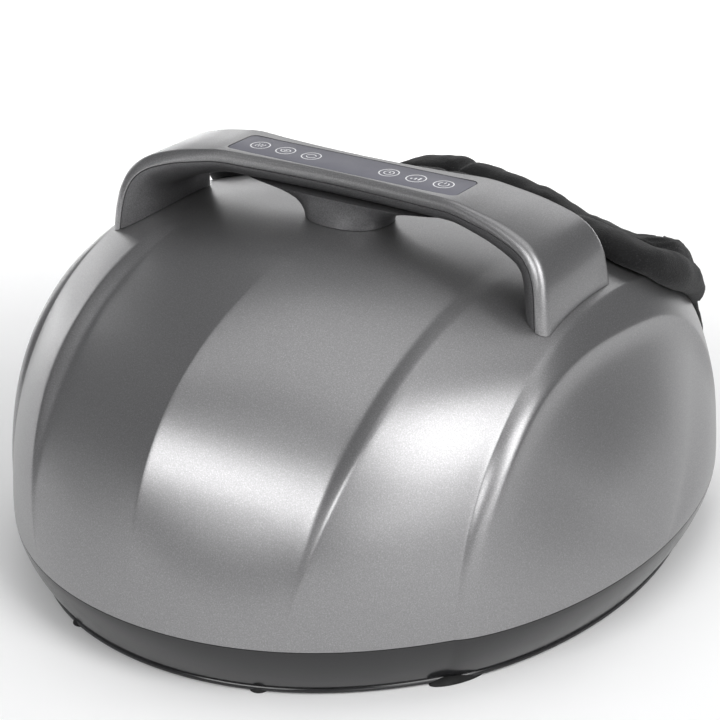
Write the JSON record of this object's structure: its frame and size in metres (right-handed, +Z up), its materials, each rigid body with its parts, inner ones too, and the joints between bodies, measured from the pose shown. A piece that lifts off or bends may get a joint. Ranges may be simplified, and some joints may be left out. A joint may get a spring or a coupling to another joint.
{
  "type": "foot massager",
  "caption": "Domed electric foot massager with a carrying handle, a touch panel, cloth foot pockets open to the rear and worm-driven rollers under the soles.",
  "frame": {"origin": "on the floor under the centre of the bounding box", "axes": "+X along the handle, to the right for someone who faces the machine from its toe side; -Y the toe side with the keel; +Y the user's side with the foot openings; +Z up"},
  "size_m": [0.432, 0.44, 0.248],
  "materials": {
    "silver_paint": "metallic silver-grey paint with a fine sparkle, satin clear coat",
    "gloss_grey": "glossy dark grey moulding",
    "liner_grey": "satin dark grey moulding with a fine grain",
    "panel_film": "dark violet-grey film with white touch icons",
    "black_cloth": "black brushed knit, puffed and folded",
    "black_plastic": "plain black moulding",
    "ivory_plastic": "unpainted acetal",
    "steel": "turned and ground",
    "rotor_copper": "wound armature",
    "board": "green circuit board",
    "rubber": "black rubber",
    "foam": "thin grey foam",
    "airbag": "welded grey-blue film",
    "amber_film": "amber heater film",
    "hose": "translucent silicone"
  },
  "bodies": {
    "housing": {"upper_shell": "silver_paint", "handle_cover": "silver_paint", "base_tray": "gloss_grey", "handle_liner": "liner_grey", "control_panel": "panel_film", "touch_board": "board", "main_board": "board", "touch_ribbon": "ivory_plastic", "valve_block": "ivory_plastic", "opening_collar": "black_cloth", "rear_cover_cloth": "black_cloth", "left_foot_sleeve": "black_cloth", "right_foot_sleeve": "black_cloth", "centre_housing": "black_plastic", "chassis_plate": "black_plastic", "motor_end_bell": "black_plastic", "air_pump": "black_plastic", "dc_inlet": "black_plastic", "left_sole_plate": "black_plastic", "left_side_frame": "black_plastic", "left_sole_pad": "foam", "left_airbag": "airbag", "left_heater_film": "amber_film", "gearbox_left": "ivory_plastic", "left_air_hose": "hose", "left_handle_screw": "steel", "front_left_bearing": "steel", "front_left_base_screw": "steel", "front_left_foot": "rubber", "rear_left_bearing": "steel", "rear_left_base_screw": "steel", "rear_left_foot": "rubber", "right_sole_plate": "black_plastic", "right_side_frame": "black_plastic", "right_sole_pad": "foam", "right_airbag": "airbag", "right_heater_film": "amber_film", "gearbox_right": "ivory_plastic", "right_air_hose": "hose", "right_handle_screw": "steel", "front_right_bearing": "steel", "front_right_base_screw": "steel", "front_right_foot": "rubber", "rear_right_bearing": "steel", "rear_right_base_screw": "steel", "rear_right_foot": "rubber", "worm_bearing": "steel", "motor_can": "steel", "power_lead": "rubber"},
    "drive_worm": {"worm_shaft": "steel", "motor_rotor": "rotor_copper"},
    "front_rollers": {"front_cross_shaft": "steel", "front_worm_wheel": "ivory_plastic", "front_left_roller": "ivory_plastic", "front_right_roller": "ivory_plastic"},
    "rear_rollers": {"rear_cross_shaft": "steel", "rear_worm_wheel": "ivory_plastic", "rear_left_roller": "ivory_plastic", "rear_right_roller": "ivory_plastic"}
  },
  "joints": [
    {"name": "worm_spin", "type": "hinge", "parent": "housing", "child": "drive_worm", "pos_m": [0, 0.03, 0.0685], "axis": [0, 1, 0], "continuous": true},
    {"name": "front_roller_spin", "type": "hinge", "parent": "housing", "child": "front_rollers", "pos_m": [0, -0.06, 0.044], "axis": [1, 0, 0], "continuous": true},
    {"name": "rear_roller_spin", "type": "hinge", "parent": "housing", "child": "rear_rollers", "pos_m": [0, 0.08, 0.044], "axis": [1, 0, 0], "continuous": true}
  ],
  "couplings": [
    {"joint": "front_roller_spin", "follows": "worm_spin", "ratio": 0.041667},
    {"joint": "rear_roller_spin", "follows": "worm_spin", "ratio": 0.041667}
  ]
}
